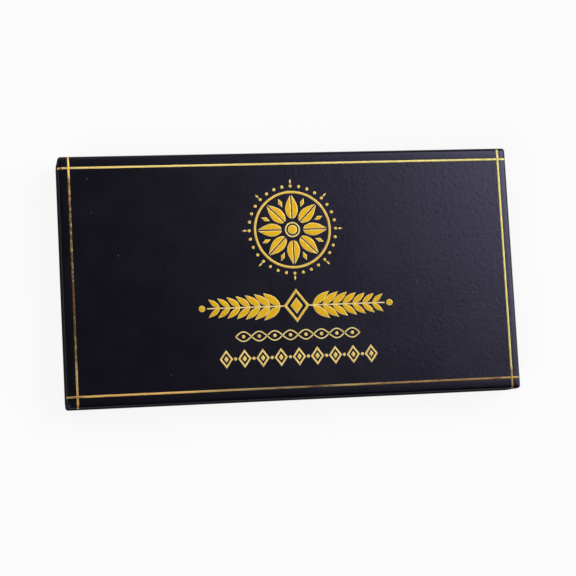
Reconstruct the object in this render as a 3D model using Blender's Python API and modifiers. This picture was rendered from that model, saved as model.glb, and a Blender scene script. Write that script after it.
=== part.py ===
"""Explosion gift box, closed. A lid lies over a tray, and the tray holds a tower of folded card cubes.

Each cube is a square tube of four walls, pressed flat as a parallelogram. Its base and its inner side lie
side by side in a lower layer, and its outer side and its top lie above them. Flaps on the base and on the
top lie between the two layers, with a rubber band stretched from each base flap to its top flap. When the
lid is lifted the bands pull the flaps together, the walls stand up, and the cubes rise as a tower. Each
cube folds the other way from the one below it, so the tower rises over the tray and not away from it.

Lengths are in metres. X runs along the box, Y towards its rear edge, and Z up from the table.
"""

import math

import bmesh
import bpy
from mathutils import Vector

# The folded cubes. The two halves of a cube lie either side of the middle of the box.
CUBE_COUNT = 5
CUBE_SIDE = 0.087
CARD = 0.0004
CREASE_GAP = 0.0003

# The flaps on the open ends of a cube, with 45 degree sides and a hole for the band near the tip
FLAP_INSET = 0.0025
FLAP_TIP_WIDTH = 0.024
HOLE_DIAMETER = 0.0045
HOLE_TO_TIP = 0.004
HOLE_SIDES = 16

# The rubber bands, each a flat loop that turns inside its two holes
BAND_THICKNESS = 0.0004
BAND_WIDTH = 0.0016
BAND_CLEARANCE = 0.00012
BAND_END_STEPS = 8

# The adhesive pads, one under each cube
PAD_SIDE = 0.05
PAD_THICKNESS = 0.00015
PAD_GAP = 0.0002

# The case: wrapped board, and the room that it leaves around the folded cubes
BOARD = 0.0012
END_ROOM = 0.0027
SIDE_ROOM = 0.0037
HEADROOM = 0.0005
LID_SLIP = 0.0004
RIM_GAP = 0.0003
LID_FOOT_GAP = 0.0008
EDGE_ROUND = 0.0013
RIM_ROUND = 0.0004
EDGE_STEPS = 3

# What follows from those sizes
BAND_HEIGHT = CARD + 2 * (BAND_CLEARANCE + BAND_THICKNESS)
FOLD_SPACE = BAND_HEIGHT + 2 * BAND_CLEARANCE
PAD_ROOM = PAD_THICKNESS + 2 * PAD_GAP
CUBE_PITCH = PAD_ROOM + 2 * CARD + FOLD_SPACE
STACK_TOP = BOARD + CUBE_COUNT * CUBE_PITCH
FLAP_LENGTH = CUBE_SIDE / 2 - FLAP_INSET - FLAP_TIP_WIDTH / 2
TRAY_INSIDE = Vector((2 * (CUBE_SIDE + END_ROOM), CUBE_SIDE + 2 * SIDE_ROOM))
WALL_PAIR = Vector((2 * BOARD, 2 * BOARD))
SLIP_PAIR = Vector((2 * LID_SLIP, 2 * LID_SLIP))
TRAY_OUTSIDE = TRAY_INSIDE + WALL_PAIR
LID_INSIDE = TRAY_OUTSIDE + SLIP_PAIR
LID_OUTSIDE = LID_INSIDE + WALL_PAIR
LID_UNDERSIDE = STACK_TOP + HEADROOM
BOX_HEIGHT = LID_UNDERSIDE + BOARD

BLACK_BOARD = ((0.012, 0.012, 0.016, 1.0), 0.62)
BLACK_CARD = ((0.016, 0.016, 0.018, 1.0), 0.75)
TAN_RUBBER = ((0.55, 0.38, 0.16, 1.0), 0.5)
WHITE_PAD = ((0.75, 0.75, 0.72, 1.0), 0.45)

for old in list(bpy.data.objects):
    bpy.data.objects.remove(old, do_unlink=True)

parts = bpy.data.collections.new("explosion_gift_box")
cutters = bpy.data.collections.new("cutters")
bpy.context.scene.collection.children.link(parts)
bpy.context.scene.collection.children.link(cutters)


def world_place(piece):
    """The place of a piece's origin, where no parent is turned or scaled."""
    place = piece.location.copy()
    while piece.parent:
        piece = piece.parent
        place += piece.location
    return place


def hang(piece, parent):
    """Makes a piece the child of another and leaves it where it is."""
    piece.location -= world_place(parent)
    piece.parent = parent


def finish(piece, look):
    """Gives a piece its own material, of one colour and roughness."""
    colour, roughness = look
    material = bpy.data.materials.new(piece.name)
    material.use_nodes = True
    shader = material.node_tree.nodes["Principled BSDF"]
    shader.inputs["Base Color"].default_value = colour
    shader.inputs["Roughness"].default_value = roughness
    shader.inputs["Metallic"].default_value = 0.0
    piece.data.materials.append(material)


def block(name, low, high, origin=(0, 0, 0), collection=parts):
    """A rectangular solid between two corners, with its origin at the given place."""
    low = Vector(low)
    high = Vector(high)
    shape = bmesh.new()
    bmesh.ops.create_cube(shape, size=1)
    bmesh.ops.scale(shape, vec=high - low, verts=shape.verts)
    bmesh.ops.translate(shape, vec=(low + high) / 2 - Vector(origin), verts=shape.verts)
    mesh = bpy.data.meshes.new(name)
    shape.to_mesh(mesh)
    shape.free()
    piece = bpy.data.objects.new(name, mesh)
    piece.location = origin
    collection.objects.link(piece)
    return piece


def plate(name, outlines, thickness, origin):
    """A flat plate in its own XY plane. The first outline is its edge and the others are holes."""
    curve = bpy.data.curves.new(name, "CURVE")
    curve.dimensions = "2D"
    curve.fill_mode = "BOTH"
    curve.extrude = thickness / 2
    for outline in outlines:
        spline = curve.splines.new("POLY")
        spline.points.add(len(outline) - 1)
        for point, (x, y) in zip(spline.points, outline):
            point.co = (x, y, 0, 1)
        spline.use_cyclic_u = True
    piece = bpy.data.objects.new(name, curve)
    piece.location = origin
    parts.objects.link(piece)
    return piece


def round_edges(box, rim_height):
    """Rounds a block's wrapped edges, and by less those round its rim."""
    mesh = box.data
    weights = mesh.attributes.new("bevel_weight_edge", "FLOAT", "EDGE")
    for edge in mesh.edges:
        on_rim = all(math.isclose(mesh.vertices[i].co.z, rim_height, abs_tol=1e-6) for i in edge.vertices)
        weights.data[edge.index].value = RIM_ROUND / EDGE_ROUND if on_rim else 1
    bevel = box.modifiers.new("wrapped_edges", "BEVEL")
    bevel.limit_method = "WEIGHT"
    bevel.width = EDGE_ROUND
    bevel.segments = EDGE_STEPS


def half_box(name, outside, inside, bottom, top, hollow_bottom, hollow_top):
    """A rounded block with a rectangular hollow that reaches out past its rim, at its bottom or top."""
    box = block(name, (-outside.x / 2, -outside.y / 2, bottom), (outside.x / 2, outside.y / 2, top))
    round_edges(box, top if hollow_top > top else bottom)
    hollow = block(
        name + "_hollow",
        (-inside.x / 2, -inside.y / 2, hollow_bottom),
        (inside.x / 2, inside.y / 2, hollow_top),
        collection=cutters,
    )
    hollow.hide_render = True
    hollow.display_type = "WIRE"
    cut = box.modifiers.new("hollow", "BOOLEAN")
    cut.operation = "DIFFERENCE"
    cut.object = hollow
    finish(box, BLACK_BOARD)
    return box


def wall(name, x_start, x_end, bottom, origin, parent):
    """One square wall of a cube, short of the creases at its two ends by half a crease gap."""
    left = min(x_start, x_end) + CREASE_GAP / 2
    right = max(x_start, x_end) - CREASE_GAP / 2
    half = CUBE_SIDE / 2
    piece = block(name, (left, -half, bottom), (right, half, bottom + CARD), origin)
    hang(piece, parent)
    finish(piece, BLACK_CARD)
    return piece


def round_outline(radius, sides):
    """The points of a circle about the origin."""
    turns = [2 * math.pi * i / sides for i in range(sides)]
    return [(radius * math.cos(turn), radius * math.sin(turn)) for turn in turns]


def flap(name, parent, x_middle, end, fold_plane):
    """A flap that lies flat, pointing in from the cube's open end. Its origin is on its crease."""
    root = CREASE_GAP / 2
    wide = CUBE_SIDE / 2 - FLAP_INSET - root
    narrow = FLAP_TIP_WIDTH / 2
    edge = [
        (-wide, -end * root),
        (wide, -end * root),
        (narrow, -end * FLAP_LENGTH),
        (-narrow, -end * FLAP_LENGTH),
    ]
    hole_place = -end * (FLAP_LENGTH - HOLE_TO_TIP)
    hole = [(x, y + hole_place) for x, y in round_outline(HOLE_DIAMETER / 2, HOLE_SIDES)]
    piece = plate(name, [edge, hole], CARD, (x_middle, end * CUBE_SIDE / 2, fold_plane))
    hang(piece, parent)
    finish(piece, BLACK_CARD)
    return piece


def loop_outline(start, end, height):
    """A long outline with half-round ends, from one X to the other."""
    radius = height / 2
    points = []
    for centre, first_turn in ((end - radius, -math.pi / 2), (start + radius, math.pi / 2)):
        for i in range(BAND_END_STEPS + 1):
            turn = first_turn + math.pi * i / BAND_END_STEPS
            points.append((centre + radius * math.cos(turn), radius * math.sin(turn)))
    return points


def band(name, parent, x_hole, end, reach, fold_plane):
    """A stretched loop from the base flap's hole to the top flap's, with its origin in the first."""
    start = HOLE_DIAMETER / 2 - BAND_CLEARANCE - BAND_HEIGHT / 2
    stop = CUBE_SIDE - start
    outer = loop_outline(start, stop, BAND_HEIGHT)
    inner = loop_outline(start + BAND_THICKNESS, stop - BAND_THICKNESS, BAND_HEIGHT - 2 * BAND_THICKNESS)
    outlines = [[(reach * x, z) for x, z in outline] for outline in (outer, inner)]
    y_hole = end * (CUBE_SIDE / 2 - FLAP_LENGTH + HOLE_TO_TIP)
    piece = plate(name, outlines, BAND_WIDTH, (x_hole, y_hole, fold_plane))
    piece.rotation_euler.x = math.pi / 2
    hang(piece, parent)
    finish(piece, TAN_RUBBER)
    return piece


def folded_cube(number, carrier):
    """One cube, folded flat on the piece that carries it. Returns its top wall."""
    name = f"cube_{number}"
    half = -1 if number % 2 else 1
    x_outer = half * CUBE_SIDE
    bottom = BOARD + (number - 1) * CUBE_PITCH + PAD_ROOM
    upper = bottom + CARD + FOLD_SPACE
    fold_plane = bottom + CARD + FOLD_SPACE / 2
    middle = (0, 0, fold_plane)
    outer_crease = (x_outer, 0, fold_plane)

    pad_middle = Vector((x_outer / 2, 0, bottom - PAD_ROOM / 2))
    pad_half = Vector((PAD_SIDE, PAD_SIDE, PAD_THICKNESS)) / 2
    pad = block(name + "_pad", pad_middle - pad_half, pad_middle + pad_half, pad_middle)
    hang(pad, carrier)
    finish(pad, WHITE_PAD)

    base = wall(name + "_base", x_outer, 0, bottom, middle, carrier)
    outer_side = wall(name + "_outer_side", x_outer, 0, upper, outer_crease, base)
    wall(name + "_inner_side", 0, -x_outer, bottom, middle, base)
    top = wall(name + "_top", 0, -x_outer, upper, middle, outer_side)
    for word, end in (("front", -1), ("rear", 1)):
        base_flap = flap(f"{name}_base_flap_{word}", base, x_outer / 2, end, fold_plane)
        flap(f"{name}_top_flap_{word}", top, -x_outer / 2, end, fold_plane)
        band(f"{name}_band_{word}", base_flap, x_outer / 2, end, -half, fold_plane)
    return top


tray = half_box("tray", TRAY_OUTSIDE, TRAY_INSIDE, 0, LID_UNDERSIDE - RIM_GAP, BOARD, BOX_HEIGHT)
half_box("lid", LID_OUTSIDE, LID_INSIDE, LID_FOOT_GAP, BOX_HEIGHT, -BOARD, LID_UNDERSIDE)
carrier = tray
for number in range(1, CUBE_COUNT + 1):
    carrier = folded_cube(number, carrier)
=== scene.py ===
import math

import bmesh
import bpy
from mathutils import Matrix, Vector


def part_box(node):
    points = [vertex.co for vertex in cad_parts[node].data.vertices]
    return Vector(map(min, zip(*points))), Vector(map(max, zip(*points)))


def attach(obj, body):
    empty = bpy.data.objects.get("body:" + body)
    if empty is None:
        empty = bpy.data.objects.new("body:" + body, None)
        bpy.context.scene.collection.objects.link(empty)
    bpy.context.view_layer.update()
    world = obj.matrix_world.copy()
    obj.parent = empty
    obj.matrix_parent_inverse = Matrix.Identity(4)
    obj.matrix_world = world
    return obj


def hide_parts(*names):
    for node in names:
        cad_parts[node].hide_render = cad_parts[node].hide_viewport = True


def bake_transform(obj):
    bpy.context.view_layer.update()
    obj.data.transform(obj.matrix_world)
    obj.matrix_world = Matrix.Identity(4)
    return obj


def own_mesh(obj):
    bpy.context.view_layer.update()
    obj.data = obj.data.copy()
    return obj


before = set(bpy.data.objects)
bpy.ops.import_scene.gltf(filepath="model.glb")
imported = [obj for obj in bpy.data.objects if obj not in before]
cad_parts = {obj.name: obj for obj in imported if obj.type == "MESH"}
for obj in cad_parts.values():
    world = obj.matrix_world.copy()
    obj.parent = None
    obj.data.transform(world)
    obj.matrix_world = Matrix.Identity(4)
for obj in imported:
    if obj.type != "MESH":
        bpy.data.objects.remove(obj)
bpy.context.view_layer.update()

# The explosion gift box: a lid and a tray of board wrapped in black paper, gold foil stamped on the lid,
# and a tower of folded card cubes with rubber bands. Lengths are in metres, in the frame of the solids.

# The wrapped board of the lid and the tray
BOARD = 0.0012
EDGE_ROUND = 0.0013
RIM_ROUND = 0.0004
INSIDE_ROUND = 0.0003
ARC_STEPS = 6
INSIDE_STEPS = 3
WALL_STEPS = 2
MARGIN = 0.0034
MARGIN_DROP = 0.00007
TUCK_WIDTH = 0.0009
TUCK_STEP = 0.00011
TUCK_RUN = 0.00006
TUCK_FADE = 0.0016
LINING = 0.0001
LINING_MARGIN = 0.0016
LINING_CORNER = 0.0012
LINING_SOFTENING = 0.00003
WELD = 0.000002

# The foil border, by the distance of each line's middle from the edge that it runs beside
LINE_WIDTH = 0.0008
LINE_FROM_LEFT = 0.00422
LINE_FROM_RIGHT = 0.00364
LINE_FROM_REAR = 0.00475
LINE_FROM_FRONT = 0.00451
LINE_ROUND = 0.000008
FOIL = 0.00003
FOIL_SINK = 0.00001
CROSSING_RISE = 0.00001
LINE_DROP = 0.0004

# The foil ornament, on a middle line of its own
PRINT_MIDDLE = 0.0007
PRINT_EDGE = 0.00002
PRINT_RISE = 0.00004
PRINT_RIM = 0.00035
BROAD_RIM = 0.0005
LEAF_STEPS = 9
ROSETTE_Y = 0.0182
ROSETTE_LEAVES = 8
GARLAND_Y = -0.0127
GARLAND_LEAVES = 7
TWIST_Y = -0.0244
TWIST_EYES = 8
TWIST_LINE = 0.0005
TWIST_ROUND = 0.000004
LOZENGES_Y = -0.0332
LOZENGE_COUNT = 9

# The folded cubes
CUBE_COUNT = 5
CARD_SOFTENING = 0.00005
BEND_STEPS = 10
CREASE_SLIT = 0.00003
CORNER_STEPS = 5
FLAP_CORNER = 0.003
HOLE_DIAMETER = 0.0045
HOLE_TO_TIP = 0.004
TAB_WIDTH = 0.011
TAB_THICKNESS = 0.0003
BAND_THICKNESS = 0.0004
BAND_ROUND = 0.00012

# The finishes: colours as red, green and blue, and how deep each one's grain is
FACE_BLACK = (0.0008, 0.0007, 0.0011)
FACE_WORN = (0.024, 0.022, 0.027)
TRAY_BLACK = (0.003, 0.0028, 0.0037)
WALL_BLACK = (0.0085, 0.0082, 0.0100)
WALL_WORN = (0.040, 0.038, 0.044)
DUST = (0.3, 0.28, 0.32)
LID_FACE_ROUGHNESS = 0.258
TRAY_FACE_ROUGHNESS = 0.4
FACE_GRAIN_DEPTH = 0.000027
WALL_GRAIN_DEPTH = 0.00015
FIBRE_DEPTH = 0.00003
RUBBER_DEPTH = 0.00004

# The camera, as the photograph was taken
CAMERA_PLACE = Vector((-0.1267, -0.0748, 0.6774))
CAMERA_AIM = Vector((0.18422, 0.10276, -0.97750))
CAMERA_RIGHT = Vector((0.98225, -0.05363, 0.17975))
CAMERA_LENS = 104.75
SENSOR_WIDTH = 36

# The lamps: name, tilt from straight above, turn from +X, spread (all in degrees), strength and colour
SOFT_LAMPS = (
    ("key_lamp", 35.5, 29, 29, 1.27, (1.0, 0.99, 1.0)),
    ("front_lamp", 42, 218, 34, 1.15, (1.0, 1.0, 1.0)),
    ("rear_lamp", 38, 108, 28, 0.5, (1.0, 0.96, 0.99)),
    ("right_lamp", 60, 0, 40, 0.4, (1.0, 1.0, 1.0)),
)
FLOOR_HALF = 6.0
FLOOR_DROP = 0.0002
FLOOR_SEEN_WHITE = 0.88
FLOOR_MIRRORED_WHITE = 0.1
SKY_SEEN = (0.973, 0.973, 0.973)
SKY_DARK_FOOT = (0.1, 0.1, 0.1)
SKY_LIGHT_FOOT = (0.93, 0.93, 0.94)
SKY_OVERHEAD = (0.03, 0.03, 0.032)

lid_low, lid_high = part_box("lid")
tray_low, tray_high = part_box("tray")


def show(piece):
    """Puts a new object in the scene."""
    bpy.context.scene.collection.objects.link(piece)
    return piece


def node(tree, kind, inputs=None, **settings):
    """A new node with its settings. Each input is a value or the socket that feeds it."""
    made = tree.nodes.new(kind)
    for name, value in settings.items():
        setattr(made, name, value)
    for key, value in (inputs or {}).items():
        if isinstance(value, bpy.types.NodeSocket):
            tree.links.new(value, made.inputs[key])
        else:
            made.inputs[key].default_value = value
    return made


def sums(tree, operation, *values, clamp=False):
    """A Math node's result, or that of a chain of them where more than two values are given."""
    inputs = dict(enumerate(values[:2]))
    result = node(tree, "ShaderNodeMath", inputs, operation=operation, use_clamp=clamp).outputs[0]
    if len(values) > 2:
        return sums(tree, operation, result, *values[2:], clamp=clamp)
    return result


def times(tree, *values, clamp=False):
    """Values multiplied."""
    return sums(tree, "MULTIPLY", *values, clamp=clamp)


def highest(tree, *values):
    """The largest of some values."""
    return sums(tree, "MAXIMUM", *values)


def remainder(tree, share):
    """What a share leaves of one."""
    return sums(tree, "SUBTRACT", 1.0, share)


def between(tree, value, low, high, out_low=0.0, out_high=1.0):
    """A value mapped from one range to another, and kept inside it."""
    inputs = {0: value, 1: low, 2: high, 3: out_low, 4: out_high}
    return node(tree, "ShaderNodeMapRange", inputs, interpolation_type="SMOOTHSTEP").outputs[0]


def mixed(tree, share, first, second):
    """Two colours mixed by a share from 0 to 1. Each is three numbers or the socket that feeds it."""
    ends = [colour + (1.0,) if isinstance(colour, tuple) else colour for colour in (first, second)]
    return node(tree, "ShaderNodeMix", {0: share, 6: ends[0], 7: ends[1]}, data_type="RGBA").outputs[2]


def noise(tree, place, scale, detail, roughness):
    """A noise value about 0.5, at so many features a metre."""
    inputs = {"Vector": place, "Scale": scale, "Detail": detail, "Roughness": roughness}
    return node(tree, "ShaderNodeTexNoise", inputs).outputs["Fac"]


def object_place(tree):
    """A point's place on its own object."""
    return node(tree, "ShaderNodeTexCoord").outputs["Object"]


def split(tree, vector):
    """A vector's three numbers, as the outputs X, Y and Z."""
    return node(tree, "ShaderNodeSeparateXYZ", {0: vector}).outputs


def group_tree(name, domain, outputs, **starts):
    """An empty node group, for shaders or geometry. Each input has its starting value, or else the name of
    its kind. A shader group gives out plain numbers."""
    kinds = {float: "Float", int: "Int", tuple: "Vector"}
    tree = bpy.data.node_groups.new(name, domain + "NodeTree")
    for label, start in starts.items():
        kind = "NodeSocket" + kinds.get(type(start), start)
        made = tree.interface.new_socket(label.replace("_", " "), in_out="INPUT", socket_type=kind)
        if not isinstance(start, str):
            made.default_value = start
    for label in outputs:
        kind = "NodeSocketFloat" if domain == "Shader" else "NodeSocketGeometry"
        tree.interface.new_socket(label, in_out="OUTPUT", socket_type=kind)
    return tree, tree.nodes.new("NodeGroupInput").outputs, tree.nodes.new("NodeGroupOutput").inputs


def paper_grain_group():
    """Felt grain, slow mottling and sparse light specks, for every paper, card and foil here."""
    tree, given, out = group_tree(
        "paper_grain",
        "Shader",
        ("Height", "Mottle", "Speck"),
        Grain_Scale=1000.0,
        Grain_Harshness=0.5,
        Mottle_Scale=60.0,
        Speck_Scale=900.0,
        Speck_Share=0.002,
    )
    place = object_place(tree)
    tree.links.new(noise(tree, place, given["Grain Scale"], 2.0, given["Grain Harshness"]), out["Height"])
    tree.links.new(noise(tree, place, given["Mottle Scale"], 3.0, 0.55), out["Mottle"])
    cells = node(tree, "ShaderNodeTexVoronoi", {"Vector": place, "Scale": given["Speck Scale"]}, feature="F1")
    chance = node(tree, "ShaderNodeSeparateColor", {0: cells.outputs["Color"]}).outputs["Red"]
    chosen = sums(tree, "LESS_THAN", chance, given["Speck Share"])
    dot = between(tree, cells.outputs["Distance"], 0.12, 0.3, 1.0, 0.0)
    tree.links.new(times(tree, chosen, dot), out["Speck"])
    return tree


def box_edges_group():
    """How near a point is to a wrapped box's edges and corners, from 0 to 1, with a ragged limit."""
    starts = {"Half_X": 0.09, "Half_Y": 0.05, "Closed_Z": 0.018, "Reach": 0.0015}
    tree, given, out = group_tree("box_edge_wear", "Shader", ("Edge", "Corner"), **starts)
    place = object_place(tree)
    axes = split(tree, place)
    gap_x = sums(tree, "SUBTRACT", given["Half X"], sums(tree, "ABSOLUTE", axes["X"]))
    gap_y = sums(tree, "SUBTRACT", given["Half Y"], sums(tree, "ABSOLUTE", axes["Y"]))
    gap_z = sums(tree, "ABSOLUTE", sums(tree, "SUBTRACT", given["Closed Z"], axes["Z"]))
    ragged = times(tree, noise(tree, place, 700.0, 4.0, 0.7), given["Reach"])
    nearest = sums(tree, "MINIMUM", gap_x, gap_y, gap_z)
    farthest = highest(tree, gap_x, gap_y, gap_z)
    middle = sums(tree, "SUBTRACT", sums(tree, "ADD", gap_x, gap_y, gap_z), nearest, farthest)
    edge = between(tree, sums(tree, "ADD", middle, ragged), 0.0, given["Reach"], 1.0, 0.0)
    corner_reach = times(tree, given["Reach"], 3.0)
    corner = between(tree, sums(tree, "ADD", farthest, ragged), 0.0, corner_reach, 1.0, 0.0)
    tree.links.new(edge, out["Edge"])
    tree.links.new(corner, out["Corner"])
    return tree


PAPER_GRAIN = paper_grain_group()
BOX_EDGES = box_edges_group()


def placed_group(tree, group, **values):
    """A shader group in a material, with its own values. Returns its outputs."""
    made = tree.nodes.new("ShaderNodeGroup")
    made.node_tree = group
    for name, value in values.items():
        made.inputs[name.replace("_", " ")].default_value = value
    return made.outputs


def new_material(name, **constants):
    """A material with its Principled shader, its node tree, and the shader's constants set on its sockets."""
    material = bpy.data.materials.new(name)
    material.use_nodes = True
    tree = material.node_tree
    shader = tree.nodes["Principled BSDF"]
    for label, value in constants.items():
        shader.inputs[label.replace("_", " ")].default_value = value
    return material, tree, shader


def surfaced(tree, shader, colour, roughness, height, depth):
    """Feeds the shader's colour and roughness, and its normal from a height of so many metres."""
    tree.links.new(colour, shader.inputs["Base Color"])
    tree.links.new(roughness, shader.inputs["Roughness"])
    bump = node(tree, "ShaderNodeBump", {"Strength": 1.0, "Distance": depth, "Height": height})
    tree.links.new(bump.outputs["Normal"], shader.inputs["Normal"])


def paper_colour(tree, grain, pattern, colour, worn_colour, box, closed_z):
    """The paper's black, varied by one of the grain's patterns, with dust, and lighter at rubbed edges."""
    low, high = box
    half = (high - low) / 2
    wear = placed_group(tree, BOX_EDGES, Half_X=half.x, Half_Y=half.y, Closed_Z=closed_z, Reach=0.0011)
    light = tuple(2.0 * level for level in colour)
    base = mixed(tree, between(tree, grain[pattern], 0.3, 0.7), colour, light)
    dusty = mixed(tree, times(tree, grain["Speck"], 0.35), base, DUST)
    worn = times(tree, highest(tree, wear["Edge"], wear["Corner"]), 0.5)
    return mixed(tree, worn, dusty, worn_colour)


def face_paper(name, colour, box, closed_z, roughness):
    """The pressed face of the black paper: felt grain, a faint mottle in its gloss, dust and rubbed edges."""
    material, tree, shader = new_material(name, Specular_IOR_Level=0.5, Specular_Tint=(0.67, 0.65, 1.0, 1.0))
    grain = placed_group(tree, PAPER_GRAIN, Grain_Scale=600.0, Grain_Harshness=0.6)
    paper = paper_colour(tree, grain, "Mottle", colour, FACE_WORN, box, closed_z)
    pressed = between(tree, grain["Mottle"], 0.25, 0.75, roughness - 0.013, roughness + 0.013)
    surfaced(tree, shader, paper, pressed, grain["Height"], FACE_GRAIN_DEPTH)
    return material


def wall_paper(name, box, closed_z):
    """The same paper on the walls, unpressed and dull, with a faint soft gloss."""
    material, tree, shader = new_material(
        name, Roughness=0.9, Specular_IOR_Level=0.0, Coat_Weight=0.05, Coat_Roughness=0.5
    )
    grain = placed_group(tree, PAPER_GRAIN, Grain_Scale=500.0, Grain_Harshness=0.7, Mottle_Scale=110.0)
    paper = paper_colour(tree, grain, "Height", WALL_BLACK, WALL_WORN, box, closed_z)
    rough = between(tree, grain["Mottle"], 0.25, 0.75, 0.84, 0.96)
    surfaced(tree, shader, paper, rough, grain["Height"], WALL_GRAIN_DEPTH)
    return material


def gold_foil():
    """Hot-stamped foil: deep gold in the print, with a painted highlight on its paler rim and painted
    highlights on the rear and right lines.
    Painted shade darkens it towards the right, and painted shade in tan and brown lies on the front line and
    half way down the left one."""
    material, tree, shader = new_material("gold_foil", Roughness=0.45, Metallic=1.0)
    place = object_place(tree)
    grain = placed_group(tree, PAPER_GRAIN, Mottle_Scale=70.0)
    axes = split(tree, place)
    x = axes["X"]
    y = axes["Y"]
    # Painted shade: the gold darkens towards the right. Painted highlight: the line highlights brighten
    # towards the left.
    painted_shade_to_right = between(tree, x, -0.03, 0.09)
    painted_highlight_to_left = between(tree, x, -0.06, 0.0, 1.0, 0.0)

    # Each line of the border
    rear = between(tree, y, 0.040, 0.043)
    right = between(tree, x, 0.085, 0.087)
    front = between(tree, y, -0.043, -0.040, 1.0, 0.0)
    left = between(tree, x, -0.087, -0.085, 1.0, 0.0)
    line = highest(tree, rear, right, front, left)

    # The print: deep gold inside its sloped rims, which carry a paler painted highlight; its lower rows take
    # more of that painted highlight
    rim_painted_highlight = mixed(tree, painted_shade_to_right, (0.84, 0.66, 0.26), (0.54, 0.43, 0.18))
    deep_gold_with_painted_shade = mixed(tree, painted_shade_to_right, (0.78, 0.46, 0.019), (0.48, 0.29, 0.013))
    rim_foot = lid_high.z + PRINT_EDGE + (PRINT_RISE - PRINT_EDGE) / 5
    raised = between(tree, axes["Z"], rim_foot, lid_high.z + PRINT_RISE)
    upper = between(tree, y, -0.028, -0.020, 0.35, 1.0)
    inner = times(tree, raised, upper, remainder(tree, line))
    print_gold = mixed(tree, inner, rim_painted_highlight, deep_gold_with_painted_shade)

    # The lines: a pale gold painted highlight on the rear and right lines, brightest towards the left, and a
    # tan painted shade on the front line and down the left one
    pale = mixed(tree, painted_shade_to_right, (0.80, 0.61, 0.20), (0.54, 0.48, 0.16))
    painted_line_highlight = mixed(tree, painted_highlight_to_left, pale, (1.0, 0.78, 0.26))
    painted_highlight_lines = highest(tree, times(tree, rear, between(tree, x, -0.087, -0.085, 0.5, 1.0)), right)
    left_tan = between(tree, x, -0.05, -0.02, 1.0, 0.0)
    right_tan = between(tree, x, 0.01, 0.04, 0.0, 0.6)
    painted_shade_tint_front = times(tree, front, highest(tree, left_tan, right_tan))
    # The tan of the painted shade, on the front line and the left one
    tan = highest(tree, painted_shade_tint_front, times(tree, left, 0.45))
    sheet = mixed(tree, tan, mixed(tree, painted_highlight_lines, print_gold, painted_line_highlight), (0.88, 0.55, 0.17))

    # Painted shade in patches on the front line and half way down the left one, and darker over the left edge
    front_painted_shade = times(tree, front, between(tree, x, -0.05, -0.012, 0.0, 0.85))
    towards_rear = between(tree, y, 0.004, 0.044, 1.0, 0.5)
    towards_front = between(tree, y, -0.042, -0.016, 0.3, 1.0)
    shade_patchiness = between(tree, noise(tree, place, 600.0, 3.0, 0.65), 0.4, 0.6, 0.7, 1.5)
    left_painted_shade = times(tree, left, sums(tree, "MINIMUM", towards_rear, towards_front), shade_patchiness)
    # The painted shade of both lines, kept off the rear line
    thin = times(tree, highest(tree, front_painted_shade, left_painted_shade), remainder(tree, rear))
    to_edge = sums(tree, "ABSOLUTE", sums(tree, "SUBTRACT", x, lid_low.x + EDGE_ROUND))
    darker_over_left_edge = between(tree, to_edge, 0.0001, 0.0005, 0.8, 0.0)
    patches = between(tree, grain["Mottle"], 0.3, 0.7, 0.7, 1.25)
    # The painted shade and the darker left edge, mixed towards brown
    worn = highest(tree, times(tree, thin, patches, clamp=True), darker_over_left_edge)
    darkened_sheet = mixed(tree, worn, sheet, (0.12, 0.065, 0.035))

    blotch = between(tree, noise(tree, place, 900.0, 4.0, 0.7), 0.54, 0.8)
    dulled = mixed(tree, times(tree, blotch, 0.4), darkened_sheet, (0.30, 0.15, 0.03))
    pinhole = between(tree, noise(tree, place, 2400.0, 2.0, 0.5), 0.73, 0.79)
    foil = mixed(tree, pinhole, dulled, (0.02, 0.014, 0.012))
    tree.links.new(remainder(tree, times(tree, pinhole, 0.9)), shader.inputs["Metallic"])
    rough = between(tree, grain["Height"], 0.3, 0.7, 0.38, 0.52)
    surfaced(tree, shader, foil, rough, grain["Height"], FIBRE_DEPTH)
    return material


def cube_card(name, colour, edge_colour):
    """Solid black card: long fibres, with a slight mottle and sparse specks in a lighter edge colour."""
    material, tree, shader = new_material(name, Roughness=0.66, Specular_IOR_Level=0.35)
    place = object_place(tree)
    grain = placed_group(tree, PAPER_GRAIN, Grain_Scale=600.0, Mottle_Scale=90.0, Speck_Share=0.004)
    fine = {"Vector": place, "Scale": (260.0, 2600.0, 2600.0)}
    stretched = node(tree, "ShaderNodeMapping", fine).outputs[0]
    fibre = noise(tree, stretched, 1.0, 3.0, 0.6)
    light = tuple(1.6 * level for level in colour)
    base = mixed(tree, between(tree, fibre, 0.35, 0.7), colour, light)
    speckled = mixed(tree, times(tree, grain["Speck"], 0.35), base, edge_colour)
    clouds = times(tree, between(tree, grain["Mottle"], 0.4, 0.8), 0.3)
    mottled = mixed(tree, clouds, speckled, edge_colour)
    rough = between(tree, fibre, 0.3, 0.7, 0.58, 0.74)
    height = sums(tree, "ADD", times(tree, fibre, 0.5), grain["Height"])
    surfaced(tree, shader, mottled, rough, height, FIBRE_DEPTH)
    return material


def tan_rubber():
    """Natural rubber with a chalky bloom and fine cross ripples from stretching."""
    material, tree, shader = new_material("rubber_band", Roughness=0.46, Specular_IOR_Level=0.45)
    place = object_place(tree)
    bloom = noise(tree, place, 500.0, 4.0, 0.65)
    colour = mixed(tree, between(tree, bloom, 0.3, 0.75), (0.50, 0.29, 0.085), (0.66, 0.46, 0.20))
    waves = {"Vector": place, "Scale": 420.0, "Distortion": 2.5, "Detail": 2.0, "Detail Scale": 3.0}
    ripple = node(tree, "ShaderNodeTexWave", waves, bands_direction="X").outputs["Fac"]
    rough = between(tree, bloom, 0.3, 0.7, 0.38, 0.58)
    height = sums(tree, "ADD", bloom, times(tree, ripple, 0.6))
    surfaced(tree, shader, colour, rough, height, RUBBER_DEPTH)
    return material


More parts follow.
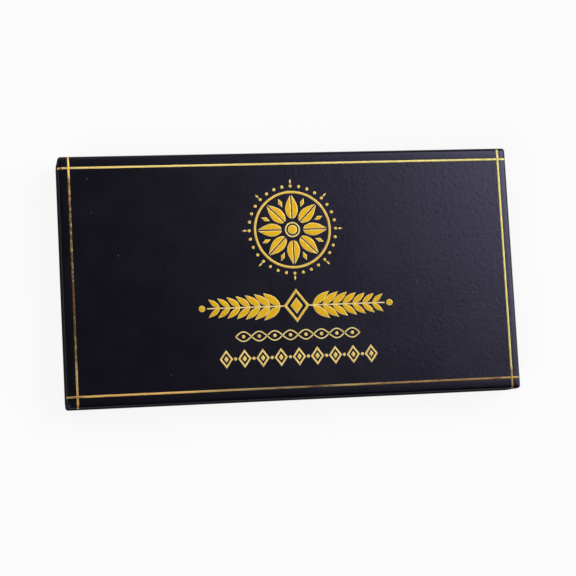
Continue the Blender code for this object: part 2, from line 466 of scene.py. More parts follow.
def tape_pad():
    """A double-sided pad: off-white tissue with a crossed scrim showing through its glue."""
    material, tree, shader = new_material("adhesive_pad", Roughness=0.4)
    place = object_place(tree)
    waves = {"Vector": place, "Scale": 160.0, "Distortion": 1.0}
    threads = [node(tree, "ShaderNodeTexWave", waves, bands_direction=axis).outputs["Fac"] for axis in "XY"]
    scrim = highest(tree, *threads)
    cloud = noise(tree, place, 240.0, 3.0, 0.6)
    tissue = mixed(tree, between(tree, cloud, 0.3, 0.7), (0.74, 0.72, 0.66), (0.83, 0.82, 0.78))
    colour = mixed(tree, between(tree, scrim, 0.8, 1.0, 0.0, 0.35), tissue, (0.60, 0.58, 0.52))
    rough = between(tree, cloud, 0.3, 0.7, 0.32, 0.5)
    surfaced(tree, shader, colour, rough, sums(tree, "ADD", scrim, cloud), FIBRE_DEPTH)
    return material


LID_BOX = (lid_low, lid_high)
TRAY_BOX = (tray_low, tray_high)
LID_PAPER = face_paper("lid_paper", FACE_BLACK, LID_BOX, lid_high.z, LID_FACE_ROUGHNESS)
LID_WALLS = wall_paper("lid_wall_paper", LID_BOX, lid_high.z)
TRAY_PAPER = face_paper("tray_paper", TRAY_BLACK, TRAY_BOX, tray_low.z, TRAY_FACE_ROUGHNESS)
TRAY_WALLS = wall_paper("tray_wall_paper", TRAY_BOX, tray_low.z)
LINING_PAPER = cube_card("lining_paper", (0.011, 0.011, 0.012), (0.05, 0.05, 0.052))
FOIL_GOLD = gold_foil()
CARD_BLACK = cube_card("cube_card", (0.010, 0.010, 0.011), (0.045, 0.044, 0.046))
RUBBER_TAN = tan_rubber()
PAD_WHITE = tape_pad()


def smoothed(piece, angle):
    """Shades a piece smooth up to an angle in degrees."""
    piece.data.shade_smooth()
    piece.data.set_sharp_from_angle(angle=math.radians(angle))
    return piece


def mesh_piece(name, shape, material, smooth_angle=35):
    """Makes a bmesh into a shown piece of one material, smooth up to an angle in degrees."""
    mesh = bpy.data.meshes.new(name)
    shape.to_mesh(mesh)
    shape.free()
    mesh.materials.append(material)
    return smoothed(show(bpy.data.objects.new(name, mesh)), smooth_angle)


def even_normals(piece):
    """Keeps the large flat faces flat where they meet a rounding."""
    weighted = piece.modifiers.new("flat_faces", "WEIGHTED_NORMAL")
    weighted.mode = "FACE_AREA"
    weighted.weight = 80
    weighted.keep_sharp = True


def finish(piece, body, slot, *nodes):
    """Carries a finished piece on a body and hides the solids that it stands for. Its slot is not used."""
    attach(piece, body)
    if nodes:
        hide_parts(*nodes)


def turn_path(centre, radius, start, stop, steps=BEND_STEPS):
    """Points on a round fold, by angles in degrees."""
    points = []
    for i in range(steps + 1):
        turn = math.radians(start + (stop - start) * i / steps)
        points.append((centre[0] + radius * math.cos(turn), centre[1] + radius * math.sin(turn)))
    return points


def along_path(points, i):
    """The direction of a path of points at one of them."""
    before = Vector(points[max(i - 1, 0)])
    after = Vector(points[min(i + 1, len(points) - 1)])
    return (after - before).normalized()


def outer_section(closed_z, rim_z):
    """A wall's outer section from its rim to the closed face, as inset and height. It may run up or down."""
    way = 1 if closed_z > rim_z else -1
    rim = turn_path((RIM_ROUND, 0), RIM_ROUND, 270, 180, ARC_STEPS)
    edge = turn_path((EDGE_ROUND, 0), EDGE_ROUND, 180, 90, ARC_STEPS)
    points = [(inset, rim_z + way * (z + RIM_ROUND)) for inset, z in rim]
    points += [(inset, closed_z + way * (z - EDGE_ROUND - MARGIN_DROP)) for inset, z in edge]
    return points


def inner_section(inner_z, rim_z):
    """A wall's inner section from the closed face's inside to its rim, as inset and height."""
    way = 1 if inner_z > rim_z else -1
    corner = turn_path((BOARD + INSIDE_ROUND, 0), INSIDE_ROUND, 90, 180, INSIDE_STEPS)
    rim = turn_path((BOARD - RIM_ROUND, 0), RIM_ROUND, 0, -90, ARC_STEPS)
    points = [(inset, inner_z + way * (z - INSIDE_ROUND)) for inset, z in corner]
    points += [(inset, rim_z + way * (z + RIM_ROUND)) for inset, z in rim]
    return points


def wrapped_loop(half_x, half_y, inset, tuck):
    """One level of a wrapped box: a rectangle with round corners, and on its short sides the edge of the
    paper a little short of each corner, set back by the tuck."""
    radius = max(EDGE_ROUND - inset, INSIDE_ROUND)
    x = half_x - inset
    y = half_y - inset
    quarter = []
    for i in range(ARC_STEPS + 1):
        turn = math.pi / 2 * i / ARC_STEPS
        back = tuck * math.cos(turn)
        quarter.append((x - radius + (radius - back) * math.cos(turn), y - radius + radius * math.sin(turn)))
    seam_y = half_y - EDGE_ROUND - TUCK_WIDTH
    quarter = [(x, seam_y - TUCK_RUN), (x - tuck, seam_y)] + quarter
    rear = quarter + mirrored_x(quarter)
    return rear + [(-px, -py) for px, py in rear]


def wrapped_shell(name, box, closed_z, inner_z, rim_z, paper, walls_paper):
    """A board shell wrapped in paper, lofted through levels from its inside, round its rim, to its closed
    face."""
    low, high = box
    half = (high - low) / 2
    way = 1 if closed_z > rim_z else -1
    levels = inner_section(inner_z, rim_z) + outer_section(closed_z, rim_z)
    shape = bmesh.new()
    loops = []
    for inset, z in levels:
        below_edge = max(0.0, way * (closed_z - z) - EDGE_ROUND)
        tuck = TUCK_STEP * min(1.0, below_edge / TUCK_FADE) if inset < RIM_ROUND - WELD else 0.0
        loops.append([shape.verts.new((x, y, z)) for x, y in wrapped_loop(half.x, half.y, inset, tuck)])
    shrink = [1 - (MARGIN - EDGE_ROUND) / side for side in (half.x, half.y)]
    loops.append([shape.verts.new((v.co.x * shrink[0], v.co.y * shrink[1], closed_z)) for v in loops[-1]])
    count = len(loops[0])
    edge_from = len(levels) - 1 - ARC_STEPS + WALL_STEPS
    for step, (below, above) in enumerate(zip(loops, loops[1:])):
        for i in range(count):
            j = (i + 1) % count
            strip = shape.faces.new((below[i], below[j], above[j], above[i]))
            strip.material_index = 0 if step >= edge_from else 1
    shape.faces.new(loops[0]).material_index = 1
    shape.faces.new(loops[-1])
    bmesh.ops.remove_doubles(shape, verts=shape.verts, dist=WELD)
    bmesh.ops.recalc_face_normals(shape, faces=shape.faces)
    piece = mesh_piece(name, shape, paper)
    piece.data.materials.append(walls_paper)
    even_normals(piece)
    return piece


def evaluated_mesh(source, name):
    """The plain mesh that an object comes to, which takes the object's place."""
    mesh = bpy.data.meshes.new_from_object(source.evaluated_get(bpy.context.evaluated_depsgraph_get()))
    bpy.data.objects.remove(source)
    mesh.name = name
    return mesh


def flat_sheet(name, outlines, low_z, high_z, material, softening=0.0):
    """A flat sheet between two heights. The first outline is its edge and the others are holes."""
    curve = bpy.data.curves.new(name, "CURVE")
    curve.dimensions = "2D"
    curve.fill_mode = "BOTH"
    curve.extrude = (high_z - low_z) / 2
    for outline in outlines:
        spline = curve.splines.new("POLY")
        spline.points.add(len(outline) - 1)
        for point, (x, y) in zip(spline.points, outline):
            point.co = (x, y, 0, 1)
        spline.use_cyclic_u = True
    mesh = evaluated_mesh(show(bpy.data.objects.new(name + "_outline", curve)), name)
    shape = bmesh.new()
    shape.from_mesh(mesh)
    bmesh.ops.remove_doubles(shape, verts=shape.verts, dist=WELD)
    bmesh.ops.dissolve_limit(shape, angle_limit=math.radians(0.5), verts=shape.verts, edges=shape.edges)
    bmesh.ops.translate(shape, vec=(0, 0, (low_z + high_z) / 2), verts=shape.verts)
    bmesh.ops.recalc_face_normals(shape, faces=shape.faces)
    bpy.data.meshes.remove(mesh)
    if softening:
        edges = [e for e in shape.edges if len(e.link_faces) == 2 and e.calc_face_angle() > math.radians(50)]
        bmesh.ops.bevel(shape, geom=edges, offset=softening, segments=2, profile=0.5, affect="EDGES")
    return mesh_piece(name, shape, material)


def rounded_outline(corners, radius):
    """An outline through the given corners, each one rounded by the same radius."""
    points = []
    for i, corner in enumerate(corners):
        here = Vector(corner)
        back = (Vector(corners[i - 1]) - here).normalized()
        on = (Vector(corners[(i + 1) % len(corners)]) - here).normalized()
        half = back.angle(on) / 2
        reach = radius / math.tan(half)
        middle = here + (back + on).normalized() * radius / math.sin(half)
        start = here + back * reach - middle
        stop = here + on * reach - middle
        sweep = start.angle_signed(stop)
        for step in range(CORNER_STEPS + 1):
            turned = Matrix.Rotation(-sweep * step / CORNER_STEPS, 2) @ start
            points.append(tuple(middle + turned))
    return points


def rectangle(half_x, half_y):
    """The corners of a rectangle about the origin."""
    return [(half_x, half_y), (-half_x, half_y), (-half_x, -half_y), (half_x, -half_y)]


def lozenge_outline(half_width, half_height):
    """The corners of a lozenge about the origin."""
    return [(half_width, 0), (0, half_height), (-half_width, 0), (0, -half_height)]


def circle_outline(radius, steps, middle=(0.0, 0.0)):
    """The points of a circle."""
    turns = [2 * math.pi * i / steps for i in range(steps)]
    return [(middle[0] + radius * math.cos(turn), middle[1] + radius * math.sin(turn)) for turn in turns]


def mirrored_x(outline):
    """An outline flipped left to right, still anticlockwise."""
    return [(-x, y) for x, y in reversed(outline)]


def wrapped_case():
    """The lid and the tray, each with the sheet that lines its closed face."""
    for body, box, closed_z, rim_z, paper, walls_paper in (
        ("lid", LID_BOX, lid_high.z, lid_low.z, LID_PAPER, LID_WALLS),
        ("tray", TRAY_BOX, tray_low.z, tray_high.z, TRAY_PAPER, TRAY_WALLS),
    ):
        way = 1 if closed_z > rim_z else -1
        inner_z = closed_z - way * BOARD
        shell = wrapped_shell(body + "_wrap", box, closed_z, inner_z, rim_z, paper, walls_paper)
        finish(shell, body, body + "_board", body)
        inset = BOARD + LINING_MARGIN
        half = (box[1] - box[0]) / 2
        edge = rounded_outline(rectangle(half.x - inset, half.y - inset), LINING_CORNER)
        levels = sorted((inner_z + way * LINING / 10, inner_z - way * LINING))
        sheet = flat_sheet(body + "_lining", [edge], *levels, LINING_PAPER, LINING_SOFTENING)
        finish(sheet, body, body + "_board")


def geometry_group(name, **starts):
    """An empty geometry group that also takes a geometry and a material."""
    return group_tree(name, "Geometry", ("Geometry",), Geometry="Geometry", **starts, Material="Material")


def ended(tree, geometry, given, out):
    """Ends a geometry group: its copies are made real and take the material."""
    real = node(tree, "GeometryNodeRealizeInstances", {0: geometry})
    dressed = node(tree, "GeometryNodeSetMaterial", {0: real.outputs[0], "Material": given["Material"]})
    tree.links.new(dressed.outputs[0], out["Geometry"])
    return tree


def copies_on(tree, points, given, **placing):
    """The given shape on each of some points."""
    shape = node(tree, "GeometryNodeObjectInfo", {"Object": given["Shape"]}, transform_space="ORIGINAL")
    inputs = {"Points": points, "Instance": shape.outputs["Geometry"], **placing}
    return node(tree, "GeometryNodeInstanceOnPoints", inputs).outputs[0]


def turned_by(tree, angle):
    """A rotation about Z."""
    return node(tree, "ShaderNodeCombineXYZ", {"Z": angle}).outputs[0]


def sweep_tree():
    """A strip swept along an edge path, with its width along the given axis."""
    tree, given, out = geometry_group(
        "swept_strip", Width=0.001, Thickness=0.0001, Round=0.00001, Across=(0.0, 1.0, 0.0)
    )
    path = node(tree, "GeometryNodeMeshToCurve", {0: given["Geometry"]}).outputs[0]
    aimed = node(tree, "GeometryNodeSetCurveNormal", {0: path, "Normal": given["Across"]}, mode="FREE")
    size = {"Width": given["Width"], "Height": given["Thickness"]}
    section = node(tree, "GeometryNodeCurvePrimitiveQuadrilateral", size)
    rounding = {0: section.outputs[0], "Radius": given["Round"], "Count": 3}
    eased = node(tree, "GeometryNodeFilletCurve", rounding, mode="POLY")
    parts = {0: aimed.outputs[0], 1: eased.outputs[0], "Fill Caps": True}
    return ended(tree, node(tree, "GeometryNodeCurveToMesh", parts).outputs[0], given, out)


def ring_tree():
    """Copies of a shape round a ring, each turned to point outwards."""
    tree, given, out = geometry_group(
        "ring_of_copies", Shape="Object", Count=8, Radius=0.01, Turn=0.0, Middle=(0.0, 0.0, 0.0)
    )
    ring = node(tree, "GeometryNodeMeshCircle", {"Vertices": given["Count"], "Radius": given["Radius"]})
    place = node(tree, "GeometryNodeInputPosition").outputs[0]
    outward = node(tree, "FunctionNodeAlignRotationToVector", {"Vector": place}, axis="Y", pivot_axis="Z")
    copies = copies_on(tree, ring.outputs[0], given, Rotation=outward.outputs[0])
    move = {"Geometry": copies, "Translation": given["Middle"], "Rotation": turned_by(tree, given["Turn"])}
    return ended(tree, node(tree, "GeometryNodeTransform", move).outputs[0], given, out)


def row_tree():
    """Copies of a shape along a level row. They lean by an angle and shrink towards the row's end."""
    tree, given, out = geometry_group(
        "row_of_copies",
        Shape="Object",
        Count=8,
        Start=(0.0, 0.0, 0.0),
        Step=(0.005, 0.0, 0.0),
        Lean=0.0,
        Last_Size=1.0,
    )
    line = {"Count": given["Count"], "Start Location": given["Start"], "Offset": given["Step"]}
    row = node(tree, "GeometryNodeMeshLine", line, mode="OFFSET").outputs[0]
    index = node(tree, "GeometryNodeInputIndex").outputs[0]
    last = highest(tree, sums(tree, "SUBTRACT", given["Count"], 1.0), 1.0)
    shrink = {0: index, 1: 0.0, 2: last, 3: 1.0, 4: given["Last Size"]}
    size = node(tree, "ShaderNodeMapRange", shrink).outputs[0]
    flat_size = node(tree, "ShaderNodeCombineXYZ", {"X": size, "Y": size, "Z": 1.0}).outputs[0]
    copies = copies_on(tree, row, given, Rotation=turned_by(tree, given["Lean"]), Scale=flat_size)
    return ended(tree, copies, given, out)


SWEPT_STRIP = sweep_tree()
RING_OF_COPIES = ring_tree()
ROW_OF_COPIES = row_tree()


def grown(name, tree, points=(), closed=False, **values):
    """Runs a geometry tree, from an edge path where points are given, and keeps its result as a plain
    mesh."""
    edges = [(i, i + 1) for i in range(len(points) - 1)]
    if closed:
        edges.append((len(points) - 1, 0))
    start = bpy.data.meshes.new(name + "_path")
    start.from_pydata(list(points), edges, [])
    source = show(bpy.data.objects.new(name + "_path", start))
    grow = source.modifiers.new("grow", "NODES")
    grow.node_group = tree
    sockets = {item.name: item.identifier for item in tree.interface.items_tree if item.in_out == "INPUT"}
    for label, value in values.items():
        grow[sockets[label.replace("_", " ")]] = value
    source.update_tag()
    bpy.context.view_layer.update()
    return show(bpy.data.objects.new(name, evaluated_mesh(source, name)))


def swept(name, points, across, size, rounding, material, closed=False):
    """A strip swept along a path. Its size is its width along the axis across it, and its thickness."""
    return grown(
        name,
        SWEPT_STRIP,
        points,
        closed,
        Width=size[0],
        Thickness=size[1],
        Round=rounding,
        Across=across,
        Material=material,
    )


def stamped(name, pieces):
    """Loose pieces of foil made into one piece on the lid."""
    shape = bmesh.new()
    for piece in pieces:
        shape.from_mesh(piece.data)
        bpy.data.objects.remove(piece)
    bmesh.ops.recalc_face_normals(shape, faces=shape.faces)
    finish(mesh_piece(name, shape, FOIL_GOLD, smooth_angle=2), "lid", "gold_foil")


def foil_line(name, along, offset, lift):
    """One line of the border: along is the axis that it runs in, and offset its place on the other one."""
    half = (lid_high - lid_low) / 2
    reach = half.x if along == "X" else half.y
    edge_z = lid_high.z - EDGE_ROUND - MARGIN_DROP
    bend = turn_path((EDGE_ROUND, edge_z), EDGE_ROUND, 180, 90, ARC_STEPS)
    section = [(0, edge_z - LINE_DROP)] + bend + [(MARGIN, lid_high.z)]
    side = []
    for i, (inset, z) in enumerate(section):
        run = along_path(section, i)
        side.append((reach - inset + run.y * lift, z + run.x * lift))
    across = side + [(-a, z) for a, z in reversed(side)]
    if along == "X":
        points = [(a, offset, z) for a, z in across]
        normal = (0.0, 1.0, 0.0)
    else:
        points = [(offset, a, z) for a, z in across]
        normal = (1.0, 0.0, 0.0)
    line = swept(name, points, normal, (LINE_WIDTH, FOIL + FOIL_SINK), LINE_ROUND, FOIL_GOLD)
    finish(smoothed(line, 40), "lid", "gold_foil")


def foil_border():
    """Four foil lines that cross near the corners and run just over the edges of the lid."""
    low_lift = (FOIL - FOIL_SINK) / 2
    high_lift = low_lift + CROSSING_RISE
    foil_line("foil_line_front", "X", lid_low.y + LINE_FROM_FRONT, low_lift)
    foil_line("foil_line_rear", "X", lid_high.y - LINE_FROM_REAR, low_lift)
    foil_line("foil_line_left", "Y", lid_low.x + LINE_FROM_LEFT, high_lift)
    foil_line("foil_line_right", "Y", lid_high.x - LINE_FROM_RIGHT, high_lift)


def foil_shape(name, outlines, middle=(0.0, 0.0), rim=PRINT_RIM):
    """A shape of foil on the lid, from outlines about its own middle. Its rim slopes down all round."""
    moved = [[(x + middle[0], y + middle[1]) for x, y in outline] for outline in outlines]
    sheet = flat_sheet(name, moved, lid_high.z - FOIL_SINK, lid_high.z + PRINT_EDGE, FOIL_GOLD)
    if rim:
        shape = bmesh.new()
        shape.from_mesh(sheet.data)
        tops = [face for face in shape.faces if face.normal.z > 0.9]
        bmesh.ops.inset_region(shape, faces=tops, thickness=rim, use_even_offset=True, use_boundary=True)
        inner = list({vert for face in tops for vert in face.verts})
        bmesh.ops.translate(shape, vec=(0, 0, PRINT_RISE - PRINT_EDGE), verts=inner)
        shape.to_mesh(sheet.data)
        shape.free()
    return sheet


def foil_copies(name, tree, outlines, **values):
    """Copies of one foil shape, set out by a geometry tree."""
    shape = foil_shape(name, outlines)
    copies = grown(name + "_copies", tree, Shape=shape, Material=FOIL_GOLD, **values)
    bpy.data.objects.remove(shape)
    return copies


def leaf_outline(length, width):
    """A pointed leaf from the origin along Y, widest below its middle."""
    side = []
    for i in range(LEAF_STEPS + 1):
        share = i / LEAF_STEPS
        side.append((width / 2 * math.sin(math.pi * share ** 0.85), length * share))
    return side[:-1] + mirrored_x(side[1:])


def half_leaf_outline(length, width, vein):
    """The right half of a leaf, drawn back from its middle by half a vein."""
    rib = vein / 2
    outer = [(x + rib, y) for x, y in leaf_outline(length, width - vein)[1 : LEAF_STEPS + 1]]
    return [(rib, outer[0][1] / 2)] + outer


def rosette():
    """Eight split leaves about a button, in a ring with a beaded edge."""
    here = (PRINT_MIDDLE, ROSETTE_Y)
    parts = [
        foil_shape("ring", [circle_outline(0.0158, 72), circle_outline(0.0149, 72)], here),
        foil_shape("button", [circle_outline(0.0019, 32)], here, BROAD_RIM),
        foil_shape("button_ring", [circle_outline(0.0031, 40), circle_outline(0.00255, 40)], here, 0.0),
    ]
    half_leaf = half_leaf_outline(0.0104, 0.0052, 0.0005)
    half_step = math.pi / ROSETTE_LEAVES
    for name, outline, count, radius, turn in (
        ("leaf_right", half_leaf, ROSETTE_LEAVES, 0.0038, 0.0),
        ("leaf_left", mirrored_x(half_leaf), ROSETTE_LEAVES, 0.0038, 0.0),
        ("lozenge", lozenge_outline(0.00085, 0.0019), ROSETTE_LEAVES, 0.0118, half_step),
        ("bead", circle_outline(0.00062, 12), 4 * ROSETTE_LEAVES, 0.0178, 0.0),
        ("spark", lozenge_outline(0.00042, 0.0011), ROSETTE_LEAVES, 0.0196, 0.0),
    ):
        ring = {"Count": count, "Radius": radius, "Turn": turn, "Middle": (*here, 0.0)}
        parts.append(foil_copies(name, RING_OF_COPIES, [outline], **ring))
    stamped("foil_rosette", parts)


def garland():
    """A level stem with paired leaves that run out from a lozenge, and a bead at each end."""
    here = (PRINT_MIDDLE, GARLAND_Y)
    open_lozenge = [lozenge_outline(0.0052, 0.0068), lozenge_outline(0.0040, 0.0053)]
    parts = [
        foil_shape("lozenge_frame", open_lozenge, here),
        foil_shape("lozenge_heart", [lozenge_outline(0.0024, 0.0033)], here, BROAD_RIM),
    ]
    leaf = leaf_outline(0.0088, 0.0030)
    leaf_lean = math.radians(52)
    stem_half = 0.00026
    for side in (-1, 1):
        left, right = sorted((side * 0.0052, side * 0.0364))
        bar = [(right, stem_half), (left, stem_half), (left, -stem_half), (right, -stem_half)]
        parts.append(foil_shape("stem", [bar], here, 0.0))
        parts.append(foil_shape("end_bead", [circle_outline(0.0013, 24, (side * 0.0384, 0.0))], here))
        for up in (-1, 1):
            row = {
                "Count": GARLAND_LEAVES,
                "Start": (PRINT_MIDDLE + side * 0.0066, GARLAND_Y + up * 0.0001, 0.0),
                "Step": (side * 0.0041, 0.0, 0.0),
                "Lean": -side * leaf_lean if up > 0 else math.pi + side * leaf_lean,
                "Last_Size": 0.66,
            }
            parts.append(foil_copies("leaf", ROW_OF_COPIES, [leaf], **row))
    stamped("foil_garland", parts)


def twist():
    """Two thin waves that cross in a chain, with a bead in each eye."""
    parts = []
    half_length = 0.0254
    pitch = 2 * half_length / TWIST_EYES
    height = 0.0019
    steps = 96
    size = (PRINT_EDGE + FOIL_SINK, TWIST_LINE)
    for name, sign in (("wave_up", 1), ("wave_down", -1)):
        points = []
        for i in range(steps + 1):
            x = -half_length + 2 * half_length * i / steps
            y = sign * height * math.sin(math.pi * (x + half_length) / pitch)
            points.append((PRINT_MIDDLE + x, TWIST_Y + y, lid_high.z + (PRINT_EDGE - FOIL_SINK) / 2))
        parts.append(swept(name, points, (0.0, 0.0, 1.0), size, TWIST_ROUND, FOIL_GOLD))
    start = (PRINT_MIDDLE - half_length + pitch / 2, TWIST_Y, 0.0)
    row = {"Count": TWIST_EYES, "Start": start, "Step": (pitch, 0.0, 0.0)}
    parts.append(foil_copies("bead", ROW_OF_COPIES, [circle_outline(0.0007, 14)], **row))
    stamped("foil_twist", parts)


def lozenge_row():
    """A moulding of open lozenges with beads between them."""
    parts = []
    pitch = 0.0074
    open_lozenge = [lozenge_outline(0.0027, 0.0037), lozenge_outline(0.0018, 0.0025)]
    for name, outlines, copies, shift in (
        ("lozenge", open_lozenge, LOZENGE_COUNT, 0.0),
        ("heart", [lozenge_outline(0.0009, 0.0013)], LOZENGE_COUNT, 0.0),
        ("bead", [circle_outline(0.00065, 14)], LOZENGE_COUNT - 1, pitch / 2),
    ):
        start = (PRINT_MIDDLE - (LOZENGE_COUNT - 1) * pitch / 2 + shift, LOZENGES_Y, 0.0)
        row = {"Count": copies, "Start": start, "Step": (pitch, 0.0, 0.0)}
        parts.append(foil_copies(name, ROW_OF_COPIES, outlines, **row))
    stamped("foil_lozenges", parts)


def bent_strip(name, path, across, low, high, thickness):
    """Card along a path of points in one plane, between two places on the axis across it."""
    shape = bmesh.new()
    rows = []
    for i, point in enumerate(path):
        run = along_path(path, i)
        out = Vector((-run.y, run.x)) * thickness / 2
        here = Vector(point)
        row = []
        for corner, place in ((here + out, low), (here + out, high), (here - out, high), (here - out, low)):
            spot = (corner.x, place, corner.y) if across == "Y" else (place, corner.x, corner.y)
            row.append(shape.verts.new(spot))
        rows.append(row)
    for one, two in zip(rows, rows[1:]):
        for i in range(4):
            j = (i + 1) % 4
            shape.faces.new((one[i], one[j], two[j], two[i]))
    shape.faces.new(rows[0])
    shape.faces.new(rows[-1])
    bmesh.ops.recalc_face_normals(shape, faces=shape.faces)
    return mesh_piece(name, shape, CARD_BLACK)


def wall_card(node_name, body):
    """One square wall of a cube, with its cut edges softened."""
    low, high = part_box(node_name)
    middle = (low + high) / 2
    outline = [(x + middle.x, y + middle.y) for x, y in rectangle(high.x - middle.x, high.y - middle.y)]
    card = flat_sheet(node_name + "_card", [outline], low.z, high.z, CARD_BLACK, CARD_SOFTENING)
    finish(card, body, "cube_card", node_name)


def flap_card(flap, end):
    """One flap, with round tip corners and the hole for its band."""
    low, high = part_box(flap)
    middle = (low + high) / 2
    root = high.y if end > 0 else low.y
    tip = low.y if end > 0 else high.y
    half = (high.x - low.x) / 2
    tip_half = half - abs(root - tip)
    corners = [(half, root), (-half, root), (-tip_half, tip), (tip_half, tip)]
    if end < 0:
        corners.reverse()
    outline = []
    for i, corner in enumerate(corners):
        if math.isclose(corner[1], root):
            outline.append(corner)
            continue
        around = [corners[i - 1], corner, corners[(i + 1) % 4]]
        outline += rounded_outline(around, FLAP_CORNER)[CORNER_STEPS + 1 : 2 * (CORNER_STEPS + 1)]
    outline = [(x + middle.x, y) for x, y in outline]
    hole = circle_outline(HOLE_DIAMETER / 2, 32, (middle.x, tip + end * HOLE_TO_TIP))
    card = flat_sheet(flap + "_card", [outline, hole], low.z, high.z, CARD_BLACK, CARD_SOFTENING)
    finish(card, flap, "flap_card", flap)


def band_loop(band):
    """A stretched rubber loop with soft corners, carried on its band's body."""
    low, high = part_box(band)
    middle = (low + high) / 2
    reach = (high.z - low.z) / 2
    radius = reach - BAND_THICKNESS / 2
    near = low.x + reach
    far = high.x - reach
    straight_steps = 24
    end_steps = 12
    shares = [i / straight_steps for i in range(straight_steps)]
    points = [(near + (far - near) * share, middle.z - radius) for share in shares]
    points += turn_path((far, middle.z), radius, -90, 90, end_steps)[:-1]
    points += [(far - (far - near) * share, middle.z + radius) for share in shares]
    points += turn_path((near, middle.z), radius, 90, 270, end_steps)[:-1]
    spots = [(x, middle.y, z) for x, z in points]
    size = (high.y - low.y, BAND_THICKNESS)
    loop = swept(band + "_loop", spots, (0.0, 1.0, 0.0), size, BAND_ROUND, RUBBER_TAN, closed=True)
    finish(smoothed(loop, 50), band, "rubber_band", band)
    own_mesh(loop)


def crease(name, path, across, span, thickness):
    """A crease: a strip of card bent along a path, left in place on no body."""
    strip = bent_strip(name, path, across, *span, thickness)
    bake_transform(strip)


def card_cube(number):
    """One folded cube: four walls, four flaps, their creases, the glue tab and the two bands."""
    name = f"cube_{number}"
    half = -1 if number % 2 else 1
    below = "tray" if number == 1 else f"cube_{number - 1}_top"
    outer_body, inner_body, top_body = (f"{name}_{word}" for word in ("outer_side", "inner_side", "top"))
    base_low, base_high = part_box(name + "_base")
    side_low, side_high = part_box(outer_body)
    inner_low, inner_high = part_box(inner_body)
    gap = min(abs(inner_low.x - base_high.x), abs(base_low.x - inner_high.x))
    card = base_high.z - base_low.z
    side = base_high.x - base_low.x + gap
    lower = (base_low.z + base_high.z) / 2
    upper = (side_low.z + side_high.z) / 2
    fold = (lower + upper) / 2
    radius = (upper - lower) / 2
    front = base_low.y
    rear = base_high.y
    x_outer = half * side
    x_end = half * (side - gap / 2)

    wall_card(name + "_base", below)
    wall_card(outer_body, outer_body)
    wall_card(inner_body, inner_body)
    wall_card(top_body, top_body)

    outward = (-90, 90) if half > 0 else (270, 90)
    around = [(x_end, lower)] + turn_path((x_outer, fold), radius, *outward) + [(x_end, upper)]
    crease(name + "_outer_crease", around, "Y", (front, rear), card)
    spread = [half * gap * (0.5 - i / BEND_STEPS) for i in range(BEND_STEPS + 1)]
    for word, z, bodies in (
        ("base_inner_crease", lower, (below, inner_body)),
        ("outer_top_crease", upper, (outer_body, top_body)),
    ):
        crease(f"{name}_{word}", [(x, z) for x in spread], "Y", (front, rear), card)
    over = (90, 180) if half > 0 else (90, 0)
    last = turn_path((-x_outer, fold), radius, *over)
    tail = [(-x_end, upper)] + last + [(last[-1][0], fold - gap / 2 + CREASE_SLIT)]
    finish(bent_strip(name + "_top_edge_bend", tail, "Y", front, rear, card), top_body, "cube_card")

    tab_start = -x_end + half * gap
    tab_stop = tab_start + half * TAB_WIDTH
    tab_high = lower + card / 2 + TAB_THICKNESS
    slope = TAB_WIDTH / 4
    corners = [
        (tab_stop, rear - slope),
        (tab_start, rear - gap),
        (tab_start, front + gap),
        (tab_stop, front + slope),
    ]
    if half < 0:
        corners.reverse()
    tab = flat_sheet(name + "_glue_tab", [corners], lower, tab_high, CARD_BLACK, CARD_SOFTENING)
    finish(tab, inner_body, "cube_card")

    for word, end in (("front", -1), ("rear", 1)):
        base_flap = f"{name}_base_flap_{word}"
        top_flap = f"{name}_top_flap_{word}"
        flap_low, flap_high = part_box(base_flap)
        half_width = (flap_high.x - flap_low.x) / 2
        flap_card(base_flap, end)
        flap_card(top_flap, end)
        band_loop(f"{name}_band_{word}")
        edge = end * side / 2
        root = edge - end * gap / 2
        for flap, level, body, middle in (
            (base_flap, lower, below, x_outer / 2),
            (top_flap, upper, top_body, -x_outer / 2),
        ):
            small = abs(fold - level) / 2
            begin = -90 if level < fold else 90
            stop = -begin
            if end < 0:
                begin, stop = 180 - begin, 180 - stop
            path = turn_path((edge, (level + fold) / 2), small, begin, stop) + [(root, fold)]
            span = (middle - half_width, middle + half_width)
            crease(flap + "_crease", path, "X", span, card)


def dress_pads():
    """The adhesive pads keep their solids, which are plain squares, and take their finish."""
    for number in range(1, CUBE_COUNT + 1):
        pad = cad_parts[f"cube_{number}_pad"]
        pad.data.materials.clear()
        pad.data.materials.append(PAD_WHITE)


def pale_floor():
    """A pale sheet that takes the shadows. Much of what the camera sees of it is an even white."""
    mesh = bpy.data.meshes.new("floor")
    mesh.from_pydata([(x, y, 0) for x, y in rectangle(FLOOR_HALF, FLOOR_HALF)], [], [(0, 1, 2, 3)])
    floor = show(bpy.data.objects.new("floor", mesh))
    floor.location.z = -FLOOR_DROP
    material, tree, shader = new_material("floor_paper", Roughness=0.9)
    cloud = noise(tree, object_place(tree), 1.5, 3.0, 0.5)
    colour = mixed(tree, between(tree, cloud, 0.3, 0.7), (0.89, 0.89, 0.89), (0.91, 0.91, 0.91))
    tree.links.new(colour, shader.inputs["Base Color"])
    white = node(tree, "ShaderNodeEmission", {"Color": (1.0, 1.0, 1.0, 1.0), "Strength": 1.0})
    ray = node(tree, "ShaderNodeLightPath").outputs
    mirrored = highest(tree, ray["Is Glossy Ray"], ray["Is Transmission Ray"])
    seen = times(tree, ray["Is Camera Ray"], FLOOR_SEEN_WHITE)
    share = highest(tree, seen, times(tree, mirrored, FLOOR_MIRRORED_WHITE))
    both = node(tree, "ShaderNodeMixShader", {0: share, 1: shader.outputs[0], 2: white.outputs[0]})
    tree.links.new(both.outputs[0], tree.nodes["Material Output"].inputs["Surface"])
    mesh.materials.append(material)


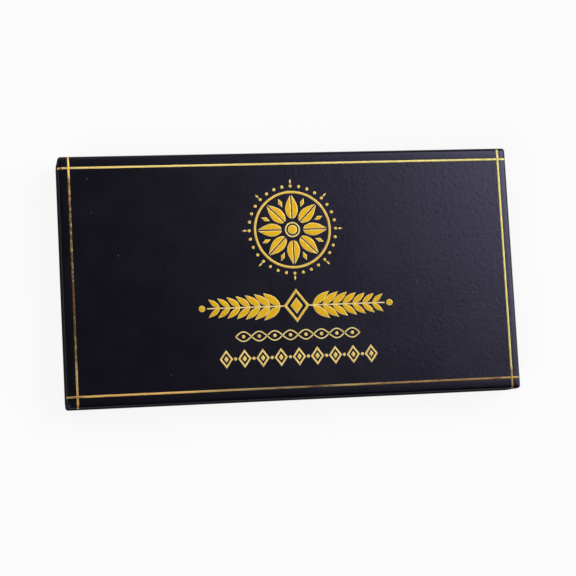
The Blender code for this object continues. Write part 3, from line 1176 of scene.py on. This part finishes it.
def plain_sky():
    """A sky that is dark overhead and light at its foot towards the rear right. The camera sees it white."""
    world = bpy.data.worlds.new("studio")
    bpy.context.scene.world = world
    world.use_nodes = True
    tree = world.node_tree
    axes = split(tree, node(tree, "ShaderNodeTexCoord").outputs["Generated"])
    to_rear_right = sums(tree, "ADD", axes["X"], times(tree, axes["Y"], 0.4))
    foot = mixed(tree, between(tree, to_rear_right, -0.2, 0.8), SKY_DARK_FOOT, SKY_LIGHT_FOOT)
    dome = mixed(tree, between(tree, axes["Z"], 0.05, 0.5), foot, SKY_OVERHEAD)
    seen = node(tree, "ShaderNodeLightPath").outputs["Is Camera Ray"]
    tree.links.new(mixed(tree, seen, dome, SKY_SEEN), tree.nodes["Background"].inputs["Color"])


def soft_lamps():
    """Wide distant lamps, as soft as large lit panels."""
    for name, tilt, turn, spread, strength, tint in SOFT_LAMPS:
        lamp = bpy.data.lights.new(name, "SUN")
        lamp.angle = math.radians(spread)
        lamp.energy = strength
        lamp.color = tint
        holder = show(bpy.data.objects.new(name, lamp))
        way = Vector((math.sin(math.radians(tilt)), 0, math.cos(math.radians(tilt))))
        way.rotate(Matrix.Rotation(math.radians(turn), 3, "Z"))
        holder.rotation_euler = (-way).to_track_quat("-Z", "Y").to_euler()


def photo_camera():
    """The camera at the photograph's viewing angle."""
    aim = CAMERA_AIM.normalized()
    right = (CAMERA_RIGHT - CAMERA_RIGHT.dot(aim) * aim).normalized()
    up = right.cross(aim)
    turn = Matrix((right, up, -aim)).transposed().to_4x4()
    lens = bpy.data.cameras.new("camera")
    lens.lens = CAMERA_LENS
    lens.sensor_width = SENSOR_WIDTH
    camera = show(bpy.data.objects.new("camera", lens))
    camera.matrix_world = Matrix.Translation(CAMERA_PLACE) @ turn
    bpy.context.scene.camera = camera


photo_camera()
pale_floor()
plain_sky()
soft_lamps()
wrapped_case()
foil_border()
rosette()
garland()
twist()
lozenge_row()
for number in range(1, CUBE_COUNT + 1):
    card_cube(number)
dress_pads()

bpy.context.scene.view_settings.view_transform = "Standard"
